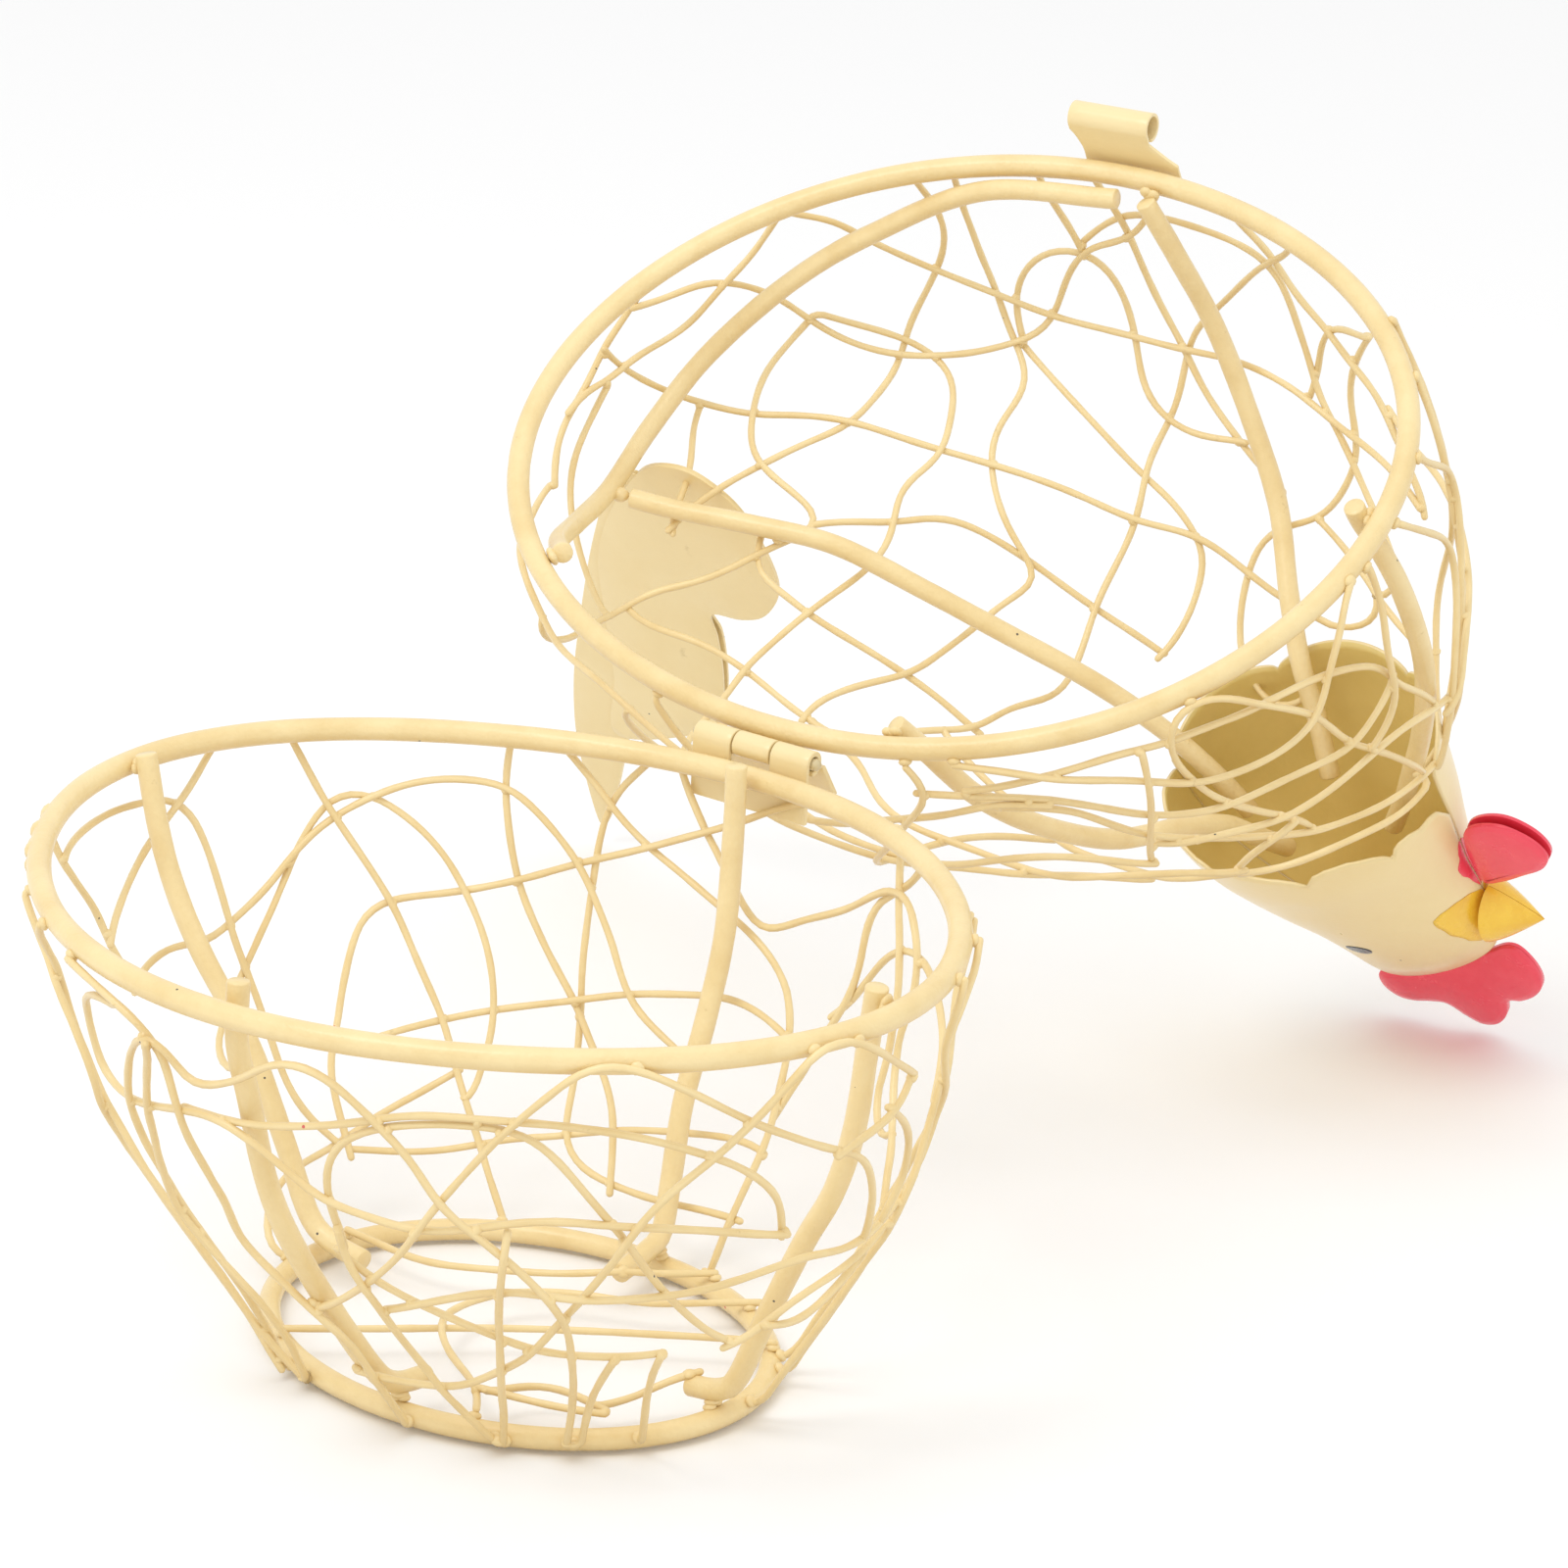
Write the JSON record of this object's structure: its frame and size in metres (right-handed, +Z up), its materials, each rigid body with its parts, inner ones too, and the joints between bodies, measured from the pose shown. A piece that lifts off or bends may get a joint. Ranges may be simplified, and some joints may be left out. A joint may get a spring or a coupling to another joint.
{
  "type": "egg collection basket",
  "caption": "Hen-shaped wire egg basket: oval mesh bowl on a base ring, a hinged domed mesh lid with a sheet-metal hen's head and layered tail, and a spring tab that holds it shut.",
  "frame": {"origin": "on the floor under the middle of the open basket's footprint, close to the hinge", "axes": "+X towards the hen's head, +Y towards the hinge, -Y towards the latch tab, +Z up; the lid is turned back open at rest"},
  "size_m": [0.2718, 0.362, 0.2133],
  "materials": {
    "coated_rod": "glossy ivory powder coat on round steel rod, slightly lumpy at the welds",
    "coated_wire": "glossy ivory powder coat on thin bent wire",
    "coated_sheet": "glossy ivory powder coat on thin stamped sheet steel, cut edges slightly rounded by the coat",
    "hinge_pin": "coated steel pin, rubbed duller where the knuckles turn",
    "red_enamel": "glossy red enamel over the ivory coat, uneven hand-painted edge",
    "yellow_enamel": "glossy yellow enamel over the ivory coat, mustard where it is thin"
  },
  "bodies": {
    "bowl": {"base_ring": "coated_rod", "bowl_rib_head": "coated_rod", "bowl_rib_hinge": "coated_rod", "bowl_rib_latch": "coated_rod", "bowl_rib_tail": "coated_rod", "bowl_rim": "coated_rod", "bowl_wire_01": "coated_wire", "bowl_wire_02": "coated_wire", "bowl_wire_03": "coated_wire", "bowl_wire_04": "coated_wire", "bowl_wire_05": "coated_wire", "bowl_wire_06": "coated_wire", "bowl_wire_07": "coated_wire", "bowl_wire_08": "coated_wire", "bowl_wire_09": "coated_wire", "bowl_wire_10": "coated_wire", "bowl_wire_11": "coated_wire", "bowl_wire_12": "coated_wire", "bowl_wire_13": "coated_wire", "bowl_wire_14": "coated_wire", "bowl_wire_15": "coated_wire", "bowl_wire_16": "coated_wire", "hinge_leaf_bowl": "coated_sheet", "hinge_pin": "hinge_pin"},
    "lid": {"beak_left": "yellow_enamel", "beak_right": "yellow_enamel", "comb_left": "red_enamel", "comb_right": "red_enamel", "head_shell_left": "coated_sheet", "head_shell_right": "coated_sheet", "hinge_leaf_lid": "coated_sheet", "latch_tab": "coated_sheet", "lid_hoop": "coated_rod", "lid_rib_head": "coated_rod", "lid_rib_hinge": "coated_rod", "lid_rib_latch": "coated_rod", "lid_rim": "coated_rod", "lid_spine": "coated_rod", "lid_wire_01": "coated_wire", "lid_wire_02": "coated_wire", "lid_wire_03": "coated_wire", "lid_wire_04": "coated_wire", "lid_wire_05": "coated_wire", "lid_wire_06": "coated_wire", "lid_wire_07": "coated_wire", "lid_wire_08": "coated_wire", "lid_wire_09": "coated_wire", "lid_wire_10": "coated_wire", "lid_wire_11": "coated_wire", "lid_wire_12": "coated_wire", "lid_wire_13": "coated_wire", "lid_wire_14": "coated_wire", "lid_wire_15": "coated_wire", "lid_wire_16": "coated_wire", "tail_fan_left": "coated_sheet", "tail_fan_right": "coated_sheet", "tail_leaf_left": "coated_sheet", "tail_leaf_right": "coated_sheet", "wattle_left": "red_enamel", "wattle_right": "red_enamel"}
  },
  "joints": [
    {"name": "lid_hinge", "type": "hinge", "parent": "bowl", "child": "lid", "pos_m": [0.027, -0.00704, 0.10491], "axis": [0.9967, 0.0749, -0.0297], "range_deg": [0, 146.2]}
  ]
}
